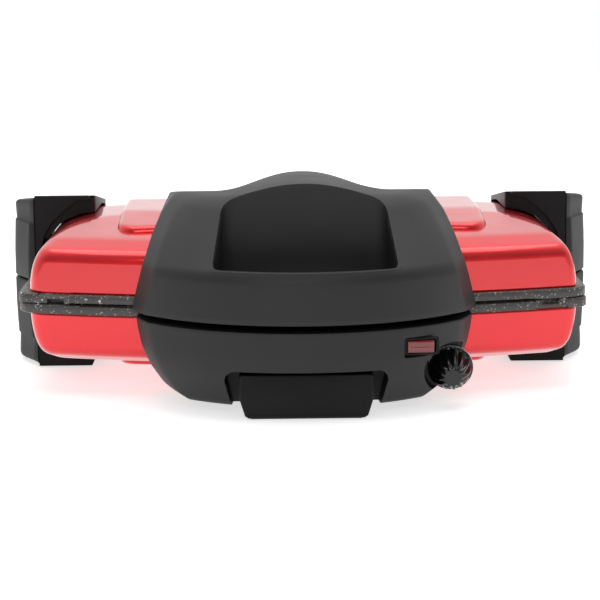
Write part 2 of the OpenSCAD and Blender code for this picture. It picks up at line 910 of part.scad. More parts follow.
// A leg frame, right side, as on the lid. x is where its hinge knuckle starts.
module leg_frame(x, other_x, lid) {
    difference() {
        union() {
            across_y(leg_front, lid ? leg_front + lip_d : leg_rear)
                polygon(rounded(leg_path(lid ? lip_t : hook_t), 3));
            if (lid) intersection() {
                leg_saddle();
                below_top(leg_drop, 0);
            }
            intersection() {
                leg_bosses(4.5, web_in - 6, web_in + 1);
                translate([shell_half - 0.5, 0, 0]) cube([20, 200, 200]);
            }
            translate([web_out - 0.01, leg_rear - 24, mid_z + knuckle_r + 1.2])
                cube([knuckle_end - web_out, 24, 26]);
            translate([x, leg_rear - 24, mid_z + half_gap])
                cube([knuckle_w, 24, knuckle_r + 2]);
            knuckle(x);
        }
        on_x(other_x - air, hinge_y, mid_z, knuckle_r + air, knuckle_w + 2 * air);
        on_x(web_in - 30, hinge_y, mid_z, pin_r + run_fit, 60);
        leg_bosses(screw_r + run_fit, web_in - 20, web_in + 20);
        if (!lid) translate([tip_x + 6, leg_front + 14, full_h - pad_t])
            cube([pad_w, pad_l, pad_t]);
    }
}

// Outline of the legs' outer covers seen from above: a full round front corner.
function leg_plan(d) = [
    [web_out + 0.2, leg_front + 0.2 + d, 1],
    [web_out + 6 - d, leg_front + 6 + d, 10],
    [leg_out - d, leg_front + 34, 26],
    [leg_out - d, leg_rear - d, 3],
    [web_out + 0.2, leg_rear - d, 0],
];

module leg_cover_form(d, z0, z1) {
    translate([0, 0, z0]) linear_extrude(z1 - z0) polygon(rounded(leg_plan(d)));
}

// The outer cover of a leg, right side; only the base's has the hinge cap.
module leg_cover(cap) {
    z0 = mid_z + half_gap;
    fall = cap ? 0 : leg_drop;
    difference() {
        union() {
            difference() {
                intersection() {
                    leg_cover_form(0, z0, leg_top);
                    below_top(fall, 1);
                }
                intersection() {
                    union() {
                        leg_cover_form(2.4, z0 + 2.4, leg_top);
                        translate([web_out - 5, leg_front + 3, z0 + 2.4])
                            cube([8, leg_rear - leg_front - 6, leg_top - z0]);
                    }
                    below_top(fall, 3.4);
                }
            }
            difference() {
                leg_cover_form(-1.5, z0, mid_z + 46);
                leg_cover_form(0.5, z0 - 1, mid_z + 50);
                translate([0, -big, 0]) cube([big, big + leg_front + 14, big]);
                translate([0, leg_rear, 0]) cube([big, big, big]);
            }
            if (cap) on_x(cap_in, hinge_y, mid_z, knuckle_r, leg_out - cap_in + 1.5);
        }
        if (!cap) on_x(cap_in - air, hinge_y, mid_z, knuckle_r + air, 40);
        on_x(web_out, hinge_y, mid_z, knuckle_r + air, cap_in - web_out);
        translate([web_out, leg_rear - 24 - air, 0])
            cube([knuckle_end - web_out + air, 24 + 2 * air, mid_z + knuckle_r + 28]);
    }
}

module lid_leg_right() {
    color([0.13, 0.13, 0.13]) leg_frame(knuckle_2, knuckle_1, true);
}

module lid_leg_left() {
    color([0.13, 0.13, 0.13]) other_side() leg_frame(knuckle_2, knuckle_1, true);
}

module base_leg_right() {
    color([0.13, 0.13, 0.13]) over_parting() leg_frame(knuckle_1, knuckle_2, false);
}

module base_leg_left() {
    color([0.13, 0.13, 0.13]) other_side() over_parting() leg_frame(knuckle_1, knuckle_2, false);
}

module lid_leg_cover_right() {
    color([0.16, 0.16, 0.16]) leg_cover(false);
}

module lid_leg_cover_left() {
    color([0.16, 0.16, 0.16]) other_side() leg_cover(false);
}

module base_leg_cover_right() {
    color([0.16, 0.16, 0.16]) over_parting() leg_cover(true);
}

module base_leg_cover_left() {
    color([0.16, 0.16, 0.16]) other_side() over_parting() leg_cover(true);
}

module pad_pair() {
    for (side = [0, 1]) mirror([side, 0, 0])
        translate([tip_x + 6 + run_fit, leg_front + 14 + run_fit, full_h - pad_t])
            cube([pad_w - 2 * run_fit, pad_l - 2 * run_fit, pad_t]);
}

module rear_foot_pads() {
    color([0.08, 0.08, 0.08]) over_parting() pad_pair();
}

module leg_screw_set() {
    for (side = [0, 1], y = leg_screw_y) mirror([side, 0, 0])
        translate([0, y, leg_screw_z + 7]) {
            on_x(shell_half - 5, 0, 0, screw_r, web_out - shell_half + 5);
            on_x(web_out, 0, 0, screw_head_r, screw_head_t);
        }
}

module lid_leg_screws() {
    color("silver") leg_screw_set();
}

module base_leg_screws() {
    color("silver") over_parting() leg_screw_set();
}

module panel_screws() {
    color("silver") for (x = [-panel_screw_x, panel_screw_x])
        translate([x, panel_screw_y, panel_low]) {
            cylinder(r = screw_r, h = panel_screw_l);
            cylinder(r = screw_head_r, h = screw_head_t);
        }
}

module hinge_pins() {
    color("silver") for (side = [0, 1]) mirror([side, 0, 0])
        on_x(web_in + 0.2, hinge_y, mid_z, pin_r, knuckle_end - web_in + 1);
}

lower_shell();
front_panel();
front_foot();
front_foot_pad();
base_leg_left();
base_leg_right();
base_leg_cover_left();
base_leg_cover_right();
rear_foot_pads();
lower_plate();
lower_element();
lower_reflector();
lower_element_clips();
thermostat();
knob_ring();
control_knob();
thermostat_shaft();
switch_housing();
switch_bezel();
rocker_switch();
terminal_block();
thermal_fuse();
cord_gland();
panel_screws();
base_leg_screws();
hinge_pins();
upper_shell();
lid_cover();
handle_underside();
upper_plate();
upper_element();
upper_reflector();
upper_element_clips();
lid_leg_left();
lid_leg_right();
lid_leg_cover_left();
lid_leg_cover_right();
lid_leg_screws();
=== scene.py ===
# %% [markdown]
# # A contact grill, dressed for its photograph
# The grill is two red pressed pans that face each other, each with a cast cooking plate in it.
# A black cover with a pocket for the fingers lies over the lid, and a black panel with a
# switch and a knob hangs under it. Two legs at the rear carry the hinge.
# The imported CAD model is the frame: it says where everything is and how it moves. This script
# builds finer surfaces around it. All sizes below are in millimetres until a mesh is made.

# %% Tools and the frame
import math

import bpy
import numpy as np
from mathutils import Matrix


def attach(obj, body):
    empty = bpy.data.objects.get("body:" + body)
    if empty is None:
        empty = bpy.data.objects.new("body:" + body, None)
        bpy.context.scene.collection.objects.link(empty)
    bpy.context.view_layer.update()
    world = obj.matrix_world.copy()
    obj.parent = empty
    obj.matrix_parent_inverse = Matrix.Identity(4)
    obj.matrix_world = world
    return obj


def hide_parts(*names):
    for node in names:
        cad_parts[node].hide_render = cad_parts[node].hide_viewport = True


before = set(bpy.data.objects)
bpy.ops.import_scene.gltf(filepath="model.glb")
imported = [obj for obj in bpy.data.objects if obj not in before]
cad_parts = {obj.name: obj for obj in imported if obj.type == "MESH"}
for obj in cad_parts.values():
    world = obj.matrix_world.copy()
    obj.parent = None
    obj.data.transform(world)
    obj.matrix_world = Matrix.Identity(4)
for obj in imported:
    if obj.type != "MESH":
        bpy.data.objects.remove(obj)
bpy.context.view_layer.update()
MM = 0.001
MIDDLE = 69.0       # height of the parting plane between base and lid

# %% [markdown]
# ## From numbers to meshes
# Every shape below is a stack of closed outlines, called rings. Neighbouring rings are joined
# by four-sided faces, so one array of points is enough to make a pan, a cover or a knob. This
# is quicker and more exact than modelling by hand, and a changed number changes the piece.

# %% Outlines
def rounded_loop(corners, arc=6):
    """Closed outline. Each corner (x, y, r) becomes arc + 1 points on a circle of radius r
    that touches both neighbouring edges; r is cut back where an edge is too short."""
    c = np.array(corners, float)
    points = []
    for before, here, after in zip(np.roll(c, 1, 0), c, np.roll(c, -1, 0)):
        p, r = here[:2], here[2]
        u, v = before[:2] - p, after[:2] - p
        lu, lv = np.hypot(*u), np.hypot(*v)
        u, v = u / lu, v / lv
        half = math.acos(max(-1.0, min(1.0, float(u @ v)))) / 2
        if r <= 0 or half > 1.5707:
            points.append(p[None])
            continue
        reach = min(r / math.tan(half), 0.45 * lu, 0.45 * lv)
        radius = reach * math.tan(half)
        centre = p + (u + v) / np.hypot(*(u + v)) * radius / math.sin(half)
        a0 = math.atan2(*(p + u * reach - centre)[::-1])
        a1 = math.atan2(*(p + v * reach - centre)[::-1])
        turn = (a1 - a0 + math.pi) % (2 * math.pi) - math.pi
        a = a0 + turn * np.linspace(0, 1, arc + 1)
        points.append(centre + radius * np.stack([np.cos(a), np.sin(a)], 1))
    return np.concatenate(points)


def rounded_curve(corners, arc=8):
    """Open line through corners (x, y, r), rounded like rounded_loop, both ends kept."""
    c = list(corners)
    far = (c[-1][0] + c[0][0] + 999.0, c[-1][1] + c[0][1] + 777.0, 0)
    loop = rounded_loop([(*c[0][:2], 0)] + c[1:-1] + [(*c[-1][:2], 0), far], arc)
    return loop[:-1]


def even(loop, count):
    """The same closed outline in count points, spaced evenly along its length."""
    closed = np.concatenate([loop, loop[:1]])
    run = np.concatenate([[0], np.cumsum(np.hypot(*np.diff(closed, axis=0).T))])
    s = np.linspace(0, run[-1], count, endpoint=False)
    return np.stack([np.interp(s, run, closed[:, k]) for k in (0, 1)], 1)


def grown(loop, d):
    """Each point of an anticlockwise outline moved outwards by d, square to its edges."""
    edge = np.roll(loop, -1, 0) - loop
    n = np.stack([edge[:, 1], -edge[:, 0]], 1)
    n = n / np.maximum(np.hypot(*n.T)[:, None], 1e-9)
    before = np.roll(n, 1, 0)
    share = 1 + np.sum(n * before, 1, keepdims=True)
    return loop + np.broadcast_to(np.reshape(d, (-1, 1)), loop[:, :1].shape) \
        * (n + before) / np.maximum(share, 0.35)


def polar(loop, centre, angles):
    """Distance from centre to a star-shaped outline in each of the given directions."""
    off = loop - np.array(centre)
    a = np.arctan2(off[:, 1], off[:, 0])
    order = np.argsort(a)
    return np.interp(angles, a[order], np.hypot(*off.T)[order], period=2 * math.pi)


def smooth(t):
    """0 below 0, 1 above 1, and a soft S between."""
    t = np.clip(t, 0, 1)
    return t * t * (3 - 2 * t)


# %% Rings to meshes
def ring_faces(rows, columns):
    """Four-sided faces between rows of points that close on themselves."""
    r, c = np.meshgrid(np.arange(rows - 1), np.arange(columns), indexing="ij")
    n = (c + 1) % columns
    return np.stack([r * columns + c, r * columns + n, (r + 1) * columns + n,
                     (r + 1) * columns + c], -1).reshape(-1, 4).tolist()


def loft(rings, start="flat", end="flat"):
    """Points and faces of a stack of rings. An end is flat, one face; a fan round its own
    middle; or open."""
    rings = np.asarray(rings, float)
    rows, columns = rings.shape[:2]
    points, faces = rings.reshape(-1, 3), ring_faces(rows, columns)
    for kind, row in ((start, 0), (end, rows - 1)):
        ids = np.arange(columns) + row * columns
        if kind == "flat":
            faces.append(ids.tolist())
        elif kind == "fan":
            faces += [[int(a), int(b), len(points)] for a, b in zip(ids, np.roll(ids, -1))]
            points = np.concatenate([points, rings[row].mean(0)[None]])
    return points, faces


def together(*parts):
    """Several lots of points and faces as one."""
    points, faces, first = [], [], 0
    for p, f in parts:
        points.append(p)
        faces += [[i + first for i in face] for face in f]
        first += len(p)
    return np.concatenate(points), faces


def at_height(loop, z):
    """A flat outline lifted to height z, a number or one number a point."""
    return np.column_stack([loop, np.broadcast_to(z, len(loop))])


def outline_solid(loop, profile, start="flat", end="flat"):
    """A solid with a flat outline: the ring at each (inset, height) of the profile."""
    return loft([at_height(grown(loop, -d), z) for d, z in profile], start, end)


def mirrored(part, axis=0, about=0.0):
    """The same points on the other side of a plane."""
    points = part[0].copy()
    points[:, axis] = 2 * about - points[:, axis]
    return points, part[1]


def turned_over(part):
    """Half a turn about the front-to-back line in the parting plane."""
    points = part[0].copy()
    points[:, 0] *= -1
    points[:, 2] = 2 * MIDDLE - points[:, 2]
    return points, part[1]


pieces = {}


def piece(name, part, material, body, nodes=(), inside=None, crisp=32, wall=0,
          bevel=0):
    """Makes the mesh of a part, turns its faces outwards from the point inside, rounds what
    is asked for, and hands it to its body."""
    points, faces = part
    mesh = bpy.data.meshes.new(name)
    mesh.from_pydata((np.asarray(points) * MM).tolist(), [], faces)
    mesh.validate()
    middle = np.array(points.mean(0) if inside is None else inside) * MM
    normal, centre, area = (np.zeros(len(mesh.polygons) * k) for k in (3, 3, 1))
    mesh.polygons.foreach_get("normal", normal)
    mesh.polygons.foreach_get("center", centre)
    mesh.polygons.foreach_get("area", area)
    outward = np.sum((centre.reshape(-1, 3) - middle) * normal.reshape(-1, 3), 1) @ area
    if outward < 0:
        mesh.flip_normals()
    mesh.shade_smooth()
    mesh.set_sharp_from_angle(angle=math.radians(crisp))
    made = bpy.data.objects.new(name, mesh)
    bpy.context.scene.collection.objects.link(made)
    if wall:
        skin = made.modifiers.new("wall", "SOLIDIFY")
        skin.thickness, skin.offset = wall * MM, -1
    if bevel:
        edge = made.modifiers.new("edge", "BEVEL")
        edge.width, edge.segments, edge.limit_method = bevel * MM, 2, "ANGLE"
        edge.angle_limit = math.radians(40)
        edge.harden_normals = True
    made.data.materials.append(material)
    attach(made, body)
    if nodes:
        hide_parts(*nodes)
    pieces[name] = made
    print(f"{name}: {len(points)} points, {len(faces)} faces")
    return made


# %% [markdown]
# ## Effects that several finishes share
# Moulded plastic, paint and cast metal all have a fine grain, and everything that is handled
# has faint cloudy marks. Each effect is a node group that is built once. It gives out plain
# values, and the shader stays in the material, where the export can read it.

# %% Shared effects
def group(name, inputs, outputs):
    """An empty node group with float sockets, its two end nodes and its object coordinates."""
    tree = bpy.data.node_groups.new(name, "ShaderNodeTree")
    for label, value in inputs.items():
        tree.interface.new_socket(name=label, in_out="INPUT",
                                  socket_type="NodeSocketFloat").default_value = value
    for label in outputs:
        tree.interface.new_socket(name=label, in_out="OUTPUT", socket_type="NodeSocketFloat")
    start, end = tree.nodes.new("NodeGroupInput"), tree.nodes.new("NodeGroupOutput")
    where = tree.nodes.new("ShaderNodeTexCoord").outputs["Object"]
    return tree, start, end, where


def maths(tree, operation, a, b=0.0, clamp=False):
    """One step of arithmetic; a and b are sockets or numbers."""
    node = tree.nodes.new("ShaderNodeMath")
    node.operation, node.use_clamp = operation, clamp
    for socket, value in zip(node.inputs, (a, b)):
        if isinstance(value, (int, float)):
            socket.default_value = value
        else:
            tree.links.new(value, socket)
    return node.outputs[0]


def noise(tree, where, scale, detail=2.0):
    """Smooth noise on a coordinate; scale is a number or a socket."""
    node = tree.nodes.new("ShaderNodeTexNoise")
    node.inputs["Detail"].default_value = detail
    tree.links.new(where, node.inputs["Vector"])
    if isinstance(scale, (int, float)):
        node.inputs["Scale"].default_value = scale
    else:
        tree.links.new(scale, node.inputs["Scale"])
    return node.outputs[0]


def grain_group():
    """Fine pebbles: the mean of a noise and one twice as fine. Clouds are slow and soft."""
    tree, start, end, where = group("grain", {"Scale": 900.0, "Cloud": 14.0},
                                    ["Height", "Cloud"])
    coarse = noise(tree, where, start.outputs["Scale"])
    fine = noise(tree, where, maths(tree, "MULTIPLY", start.outputs["Scale"], 2.1))
    both = maths(tree, "MULTIPLY", maths(tree, "ADD", coarse, fine), 0.5)
    tree.links.new(both, end.inputs["Height"])
    tree.links.new(noise(tree, where, start.outputs["Cloud"], 4.0), end.inputs["Cloud"])
    return tree


def specks_group():
    """Round dots: 1 near the middle of a random share of the cells of a cell pattern."""
    tree, start, end, where = group("specks", {"Scale": 300.0, "Share": 0.3, "Radius": 0.3},
                                    ["Mask"])
    cells = tree.nodes.new("ShaderNodeTexVoronoi")
    tree.links.new(where, cells.inputs["Vector"])
    tree.links.new(start.outputs["Scale"], cells.inputs["Scale"])
    pick = tree.nodes.new("ShaderNodeSeparateColor")
    tree.links.new(cells.outputs["Color"], pick.inputs[0])
    chosen = maths(tree, "LESS_THAN", pick.outputs[0], start.outputs["Share"])
    size = maths(tree, "MULTIPLY", start.outputs["Radius"],
                 maths(tree, "ADD", pick.outputs[1], 0.35))
    edge = maths(tree, "SUBTRACT", size, cells.outputs["Distance"])
    dot = maths(tree, "MULTIPLY", edge, 14.0, clamp=True)
    tree.links.new(maths(tree, "MULTIPLY", dot, chosen), end.inputs["Mask"])
    return tree


GRAIN, SPECKS = grain_group(), specks_group()

# %% [markdown]
# ## Finishes
# One function makes a material from constants, and small steps then wire the grain, clouds
# and specks into its colour, roughness and normal. Constants sit on the shader's own sockets.

# %% Material helpers
def finish(name, colour, roughness, **sockets):
    """A Principled material with its constants set; returns material, tree and shader."""
    material = bpy.data.materials.new(name)
    material.use_nodes = True
    tree = material.node_tree
    shader = tree.nodes["Principled BSDF"]
    shader.inputs["Base Color"].default_value = (*colour, 1)
    shader.inputs["Roughness"].default_value = roughness
    for label, value in sockets.items():
        shader.inputs[label.replace("_", " ")].default_value = value
    return material, tree, shader


def effect(tree, kind, **values):
    """Places a shared effect with its own values."""
    node = tree.nodes.new("ShaderNodeGroup")
    node.node_tree = kind
    for label, value in values.items():
        node.inputs[label].default_value = value
    return node


def between(tree, mask, low, high):
    """A value that runs from low to high as the mask runs from 0.3 to 0.7."""
    node = tree.nodes.new("ShaderNodeMapRange")
    node.inputs["From Min"].default_value, node.inputs["From Max"].default_value = 0.3, 0.7
    node.inputs["To Min"].default_value, node.inputs["To Max"].default_value = low, high
    tree.links.new(mask, node.inputs["Value"])
    return node.outputs[0]


def blend_colours(tree, mask, one, two):
    """Colour one where the mask is 0 and colour two where it is 1; two may be a socket."""
    node = tree.nodes.new("ShaderNodeMix")
    node.data_type = "RGBA"
    tree.links.new(mask, node.inputs[0])
    for socket, value in ((node.inputs[6], one), (node.inputs[7], two)):
        if isinstance(value, tuple):
            socket.default_value = (*value, 1)
        else:
            tree.links.new(value, socket)
    return node.outputs[2]


def relief(tree, shader, height, depth_mm, strength=1.0):
    """Bump of the given depth from a height mask."""
    node = tree.nodes.new("ShaderNodeBump")
    node.inputs["Strength"].default_value = strength
    node.inputs["Distance"].default_value = depth_mm * MM
    tree.links.new(height, node.inputs["Height"])
    tree.links.new(node.outputs[0], shader.inputs["Normal"])


def clouded(tree, shader, grain, low, high, dark, light):
    """Faint cloudy marks in roughness and colour."""
    tree.links.new(between(tree, grain.outputs["Cloud"], low, high),
                   shader.inputs["Roughness"])
    tree.links.new(blend_colours(tree, grain.outputs["Cloud"], dark, light),
                   shader.inputs["Base Color"])


# %% The grill's finishes
def plain(name, dark, light, low, high, scale, depth_mm, **sockets):
    """A finish with a grain and clouds: plastic, paint, rubber or bare metal."""
    material, tree, shader = finish(name, light, (low + high) / 2, **sockets)
    grain = effect(tree, GRAIN, Scale=scale)
    clouded(tree, shader, grain, low, high, dark, light)
    relief(tree, shader, grain.outputs["Height"], depth_mm)
    return material


textured_black = plain("textured_black", (0.013, 0.013, 0.0135), (0.019, 0.019, 0.0195),
                       0.46, 0.56, 1500.0, 0.035, Specular_IOR_Level=0.4)
smooth_black = plain("smooth_black", (0.005, 0.005, 0.0055), (0.007, 0.007, 0.0075),
                     0.42, 0.52, 900.0, 0.006, Specular_IOR_Level=0.2)
glossy_black = plain("glossy_black", (0.006, 0.006, 0.007), (0.009, 0.009, 0.010),
                     0.08, 0.14, 500.0, 0.002)
rubber = plain("rubber", (0.016, 0.016, 0.016), (0.026, 0.026, 0.026), 0.7, 0.85, 1200.0, 0.02)
bright_steel = plain("bright_steel", (0.55, 0.55, 0.56), (0.68, 0.68, 0.69), 0.22, 0.34,
                     700.0, 0.004, Metallic=1.0)
sheet_metal = plain("sheet_metal", (0.70, 0.70, 0.71), (0.82, 0.82, 0.83), 0.3, 0.42,
                    300.0, 0.006, Metallic=1.0)
rod_sheath = plain("rod_sheath", (0.10, 0.095, 0.085), (0.20, 0.18, 0.16), 0.4, 0.6,
                   800.0, 0.01, Metallic=0.8)
cream_moulding = plain("cream_moulding", (0.60, 0.56, 0.46), (0.70, 0.66, 0.56), 0.35, 0.5,
                       600.0, 0.01)


def candy_red():
    """Red paint over fine flakes: two reds mixed flake by flake under a clear coat."""
    material, tree, shader = finish("candy_red", (0.72, 0.006, 0.012), 0.34, Metallic=0.8,
                                    Coat_Weight=1.0, Coat_Roughness=0.06)
    grain = effect(tree, GRAIN, Scale=2600.0, Cloud=60.0)
    tree.links.new(blend_colours(tree, grain.outputs["Height"], (0.62, 0.003, 0.008),
                                 (0.86, 0.014, 0.020)), shader.inputs["Base Color"])
    tree.links.new(between(tree, grain.outputs["Cloud"], 0.30, 0.38),
                   shader.inputs["Roughness"])
    relief(tree, shader, grain.outputs["Height"], 0.004)
    return material


def granite_coat():
    """Dark grey non-stick coat with pale specks of two sizes."""
    material, tree, shader = finish("granite_coat", (0.07, 0.068, 0.066), 0.42)
    grain = effect(tree, GRAIN, Scale=420.0, Cloud=160.0)
    small = effect(tree, SPECKS, Scale=720.0, Share=0.30, Radius=0.42)
    large = effect(tree, SPECKS, Scale=300.0, Share=0.16, Radius=0.30)
    both = maths(tree, "MAXIMUM", maths(tree, "MULTIPLY", small.outputs[0], 0.55),
                 large.outputs[0])
    ground = blend_colours(tree, grain.outputs["Cloud"], (0.055, 0.053, 0.051),
                           (0.105, 0.101, 0.097))
    mix = blend_colours(tree, both, (0.07, 0.068, 0.066), (0.80, 0.76, 0.70))
    tree.links.new(ground, mix.node.inputs[6])
    tree.links.new(mix, shader.inputs["Base Color"])
    tree.links.new(between(tree, grain.outputs["Cloud"], 0.36, 0.48),
                   shader.inputs["Roughness"])
    relief(tree, shader, grain.outputs["Height"], 0.03)
    return material


def red_lens():
    """Clear red plastic over a dark housing: glossy, darker in its depth."""
    material, tree, shader = finish("red_lens", (0.30, 0.010, 0.014), 0.12,
                                    Coat_Weight=0.6, Coat_Roughness=0.04)
    grain = effect(tree, GRAIN, Scale=300.0, Cloud=110.0)
    tree.links.new(blend_colours(tree, grain.outputs["Cloud"], (0.16, 0.004, 0.010),
                                 (0.42, 0.020, 0.018)), shader.inputs["Base Color"])
    tree.links.new(between(tree, grain.outputs["Cloud"], 0.10, 0.18),
                   shader.inputs["Roughness"])
    return material


candy_red, granite_coat, red_lens = candy_red(), granite_coat(), red_lens()
print("finishes:", len(bpy.data.materials))

# %% [markdown]
# ## The red pans
# Each pan is a deep pressing with a bowed front. Three curves say how far its front, its sides
# and its rear draw in as the pan gets higher. A ring at each height follows all three, and its
# corners get rounder towards the top. The raised middle panel is a second skin that stands
# 4 mm proud of the first.

# %% Plan of the pans and plates
HALF_W = 204.0                  # half the width of the pans
FRONT, REAR = 88.0, 146.0       # depth of the front's middle and of the rear edge
BOW = 33.0                      # how far the front's middle stands before its corners
PAN_H = 56.0
BOW_R = (HALF_W ** 2 + BOW ** 2) / (2 * BOW)
BEVEL_X = (172.5, 196.9)        # the rim's bevelled stretch, on the user's right
SLOT_X = (176.9, 189.5)         # the slot in it, by which a plate is lifted
STEP_Y = 38.0                   # behind this the rims make room for the legs
FRONT_XS = np.sort(np.concatenate([np.linspace(-186, 186, 42), [
    172.2, 172.8, 176.6, 177.2, 189.2, 189.8, 196.4, 197.0]]))


def pan_plan(side, front, corner, notch=None, back=None, rear_corner=8):
    """Anticlockwise outline seen from above: bowed front, round corners, straight sides. With
    a notch (y, x) the sides step in to x behind y."""
    w, r = HALF_W + side, BOW_R + front

    def bow(x):
        return BOW_R - FRONT - math.sqrt(r * r - x * x)
    xs = FRONT_XS * min(1, (w - 8) / FRONT_XS[-1])
    y_step, x_rear = notch or (STEP_Y, w)
    rear = REAR + (min(front, 2) if back is None else back)
    return ([(-w, bow(w), corner)] + [(x, bow(x), 0) for x in xs] + [(w, bow(w), corner)]
            + [(w, y_step, 2), (x_rear, y_step + 0.1, 2), (x_rear, rear, rear_corner)]
            + [(-x_rear, rear, rear_corner), (-x_rear, y_step + 0.1, 2), (-w, y_step, 2)])


def drop(line, at):
    """Height of a line at a distance, whichever way the line runs."""
    order = np.argsort(line[:, 0])
    return np.interp(at, line[order, 0], line[order, 1])


def reach(line, z):
    """Distance of a line at a height; the line runs upwards."""
    return np.interp(z, line[:, 1], line[:, 0])


def soft_least(values, width):
    """The least of several heights, with its creases rounded over about width."""
    values = np.stack(values)
    least = values.min(0)
    return least - width * np.log(np.exp(-(values - least) / width).sum(0))


front_fall = rounded_curve([(0, 0, 0), (1.5, 38, 10), (24, 46, 20), (90, 55.8, 60),
                            (400, 56.2, 0)])
rear_fall = rounded_curve([(0, 0, 0), (2, 48, 12), (60, 55.8, 60), (400, 56.2, 0)])
side_share = np.linspace(0, 1, 400)
side_fall = np.stack([HALF_W * (1 - (1 - side_share ** 2.8) ** 0.1), PAN_H * side_share], 1)


def pan_height(x, y):
    """Height of the lid's pan over a plan point: the least of what the front, side and rear
    curves allow at its distance from each edge."""
    from_front = BOW_R - np.hypot(x, y - (BOW_R - FRONT))
    return MIDDLE + soft_least([drop(front_fall, from_front), drop(rear_fall, REAR - y),
                                drop(side_fall, HALF_W - np.abs(x))], 0.3)


# %% The pans
def pan():
    """The pressed pan of the lid: one ring a height, drawn in by the three curves, closer
    together towards the top."""
    share = 1 - (1 - np.linspace(0, 1, 46)) ** 2.2
    rings = []
    for u in 0.13 + 0.865 * share:
        z = PAN_H * u
        loop = rounded_loop(pan_plan(
            -float(reach(side_fall, z)), -float(reach(front_fall, z)), 16 + 50 * u ** 6,
            None, -float(reach(rear_fall, z)), 8 + 40 * u ** 6), 10)
        rings.append(at_height(even(loop, 320), MIDDLE + z))
    top = rings[-1].copy()
    middle = np.append(top[:, :2].mean(0), MIDDLE + PAN_H)
    for keep in (0.93, 0.8, 0.62, 0.42, 0.22, 0.04):
        ring = middle + keep * (top - middle)
        ring[:, 2] = middle[2] + (top[:, 2] - middle[2]) * keep ** 2
        rings.append(ring)
    return loft(rings, "open", "fan")


def raised_panel():
    """The raised middle: a rounded rectangle that rises over the pan along a soft step."""
    loop = even(rounded_loop([(-140, -34, 16), (140, -34, 16), (140, 139, 10),
                              (-140, 139, 10)]), 300)
    steps = [(0, -2), (0.2, 0.6), (0.8, 2.2), (1.8, 3.3), (3.2, 3.9), (5.0, 4.1)]
    rings = []
    for inset, lift in steps:
        at = grown(loop, -inset)
        rings.append(at_height(at, pan_height(*at.T) + lift))
    for share in np.linspace(0.96, 0.03, 22):
        at = np.array([0, 52.0]) + share * (grown(loop, -5.0) - [0, 52.0])
        rings.append(at_height(at, pan_height(*at.T) + 4.1))
    return loft(rings, "fan", "fan")


upper, panel_skin = pan(), raised_panel()
for name, body, flip in (("upper_pan", "lid", False), ("lower_pan", "base", True)):
    parts = [mirrored(p, 2, MIDDLE) if flip else p for p in (upper, panel_skin)]
    node = name.replace("pan", "shell")
    centre = (0, 30, MIDDLE - 20 if flip else MIDDLE + 20)
    piece(name, parts[0], candy_red, body, [node], centre, 50, wall=1.0)
    piece(name + "_raised", parts[1], candy_red, body, (), centre, 50)

# %% [markdown]
# ## The cooking plates
# A plate is one casting: a broad rim, a tray with ribs, and a slot to lift it by. The same
# casting lies in the base and, turned over, in the lid. The rings run from the middle of the
# underside out over the rim and back to the middle of the tray. Between the slots the front
# faces stand a little further apart, which gives the dark line between the plates.

# %% The casting
def casting():
    """Rings (outline, height) of a plate in the base; a column's height at the front edge
    depends on its place along the front."""
    rim = rounded_loop(pan_plan(8, 3, 20, (STEP_Y, 205.5)), 4)
    tray = rounded_loop(pan_plan(-14, -14, 14, (STEP_Y, 189.9)), 4)
    under = rounded_loop(pan_plan(-10, -10, 14, (STEP_Y, 193.9)), 4)
    front = rim[:, 1] < -40
    x = rim[:, 0]
    slot = front & (x > SLOT_X[0]) & (x < SLOT_X[1])
    bevel = front & (x > BEVEL_X[0]) & (x < BEVEL_X[1])
    top = np.where(slot, 65.4, np.where(front & (np.abs(x) < BEVEL_X[0]), 67.9, 68.7))
    low_in = np.where(bevel, 3.4, 1.1)
    low_z = np.where(bevel, 63.9, 62.4)
    rows = [at_height(under * 0.02, 57.7), at_height(grown(under, -2), 57.7),
            at_height(grown(under, -0.4), 58.2), at_height(under, 59.2),
            at_height(under, 61.5), at_height(grown(rim, -low_in), 61.5),
            at_height(grown(rim, -0.25 * low_in), 61.5 + 0.6 * (low_z - 61.5)),
            at_height(rim, low_z), at_height(rim, top - 0.9),
            at_height(grown(rim, -0.3), top - 0.3), at_height(grown(rim, -0.9), top),
            at_height(grown(rim, -5.2), top), at_height(grown(rim, -5.8), 68.7),
            at_height(grown(tray, 1.2), 68.7), at_height(grown(tray, 0.3), 68.3),
            at_height(tray, 67.4), at_height(grown(tray, -1.0), 62.4),
            at_height(grown(tray, -1.8), 61.2), at_height(grown(tray, -3.0), 60.7),
            at_height(tray * 0.02, 60.7)]
    return loft(rows, "flat", "flat")


def ribs():
    """Round-backed bars side by side: half ellipses whose size falls to nothing at the ends."""
    xs = np.arange(-12, 13) * 14.0
    side = np.linspace(-0.15, math.pi + 0.15, 11)
    y0 = BOW_R - FRONT - np.sqrt((BOW_R - 22) ** 2 - xs ** 2)
    t = np.concatenate([[0, 0.004, 0.012, 0.025], np.linspace(0.05, 0.95, 8),
                        [0.975, 0.988, 0.996, 1]])
    size = np.sqrt(np.clip(1 - (np.clip(np.abs(t - 0.5) - 0.475, 0, 1) / 0.0255) ** 2, 0, 1))
    parts = []
    for x, y in zip(xs, y0):
        ring = np.stack([np.broadcast_to(x + 2.9 * np.cos(side), (len(t), 11)),
                         np.broadcast_to((y + t * (124 - y))[:, None], (len(t), 11)),
                         60.2 + np.outer(0.2 + 4.8 * size, np.sin(side))], 2)
        parts.append(loft(ring))
    return together(*parts)


plate = together(casting(), ribs())
piece("lower_plate_casting", plate, granite_coat, "base", ["lower_plate"],
      (0, 30, 60), 40)
piece("upper_plate_casting", turned_over(plate), granite_coat, "lid",
      ["upper_plate"], (0, 30, 78), 40)

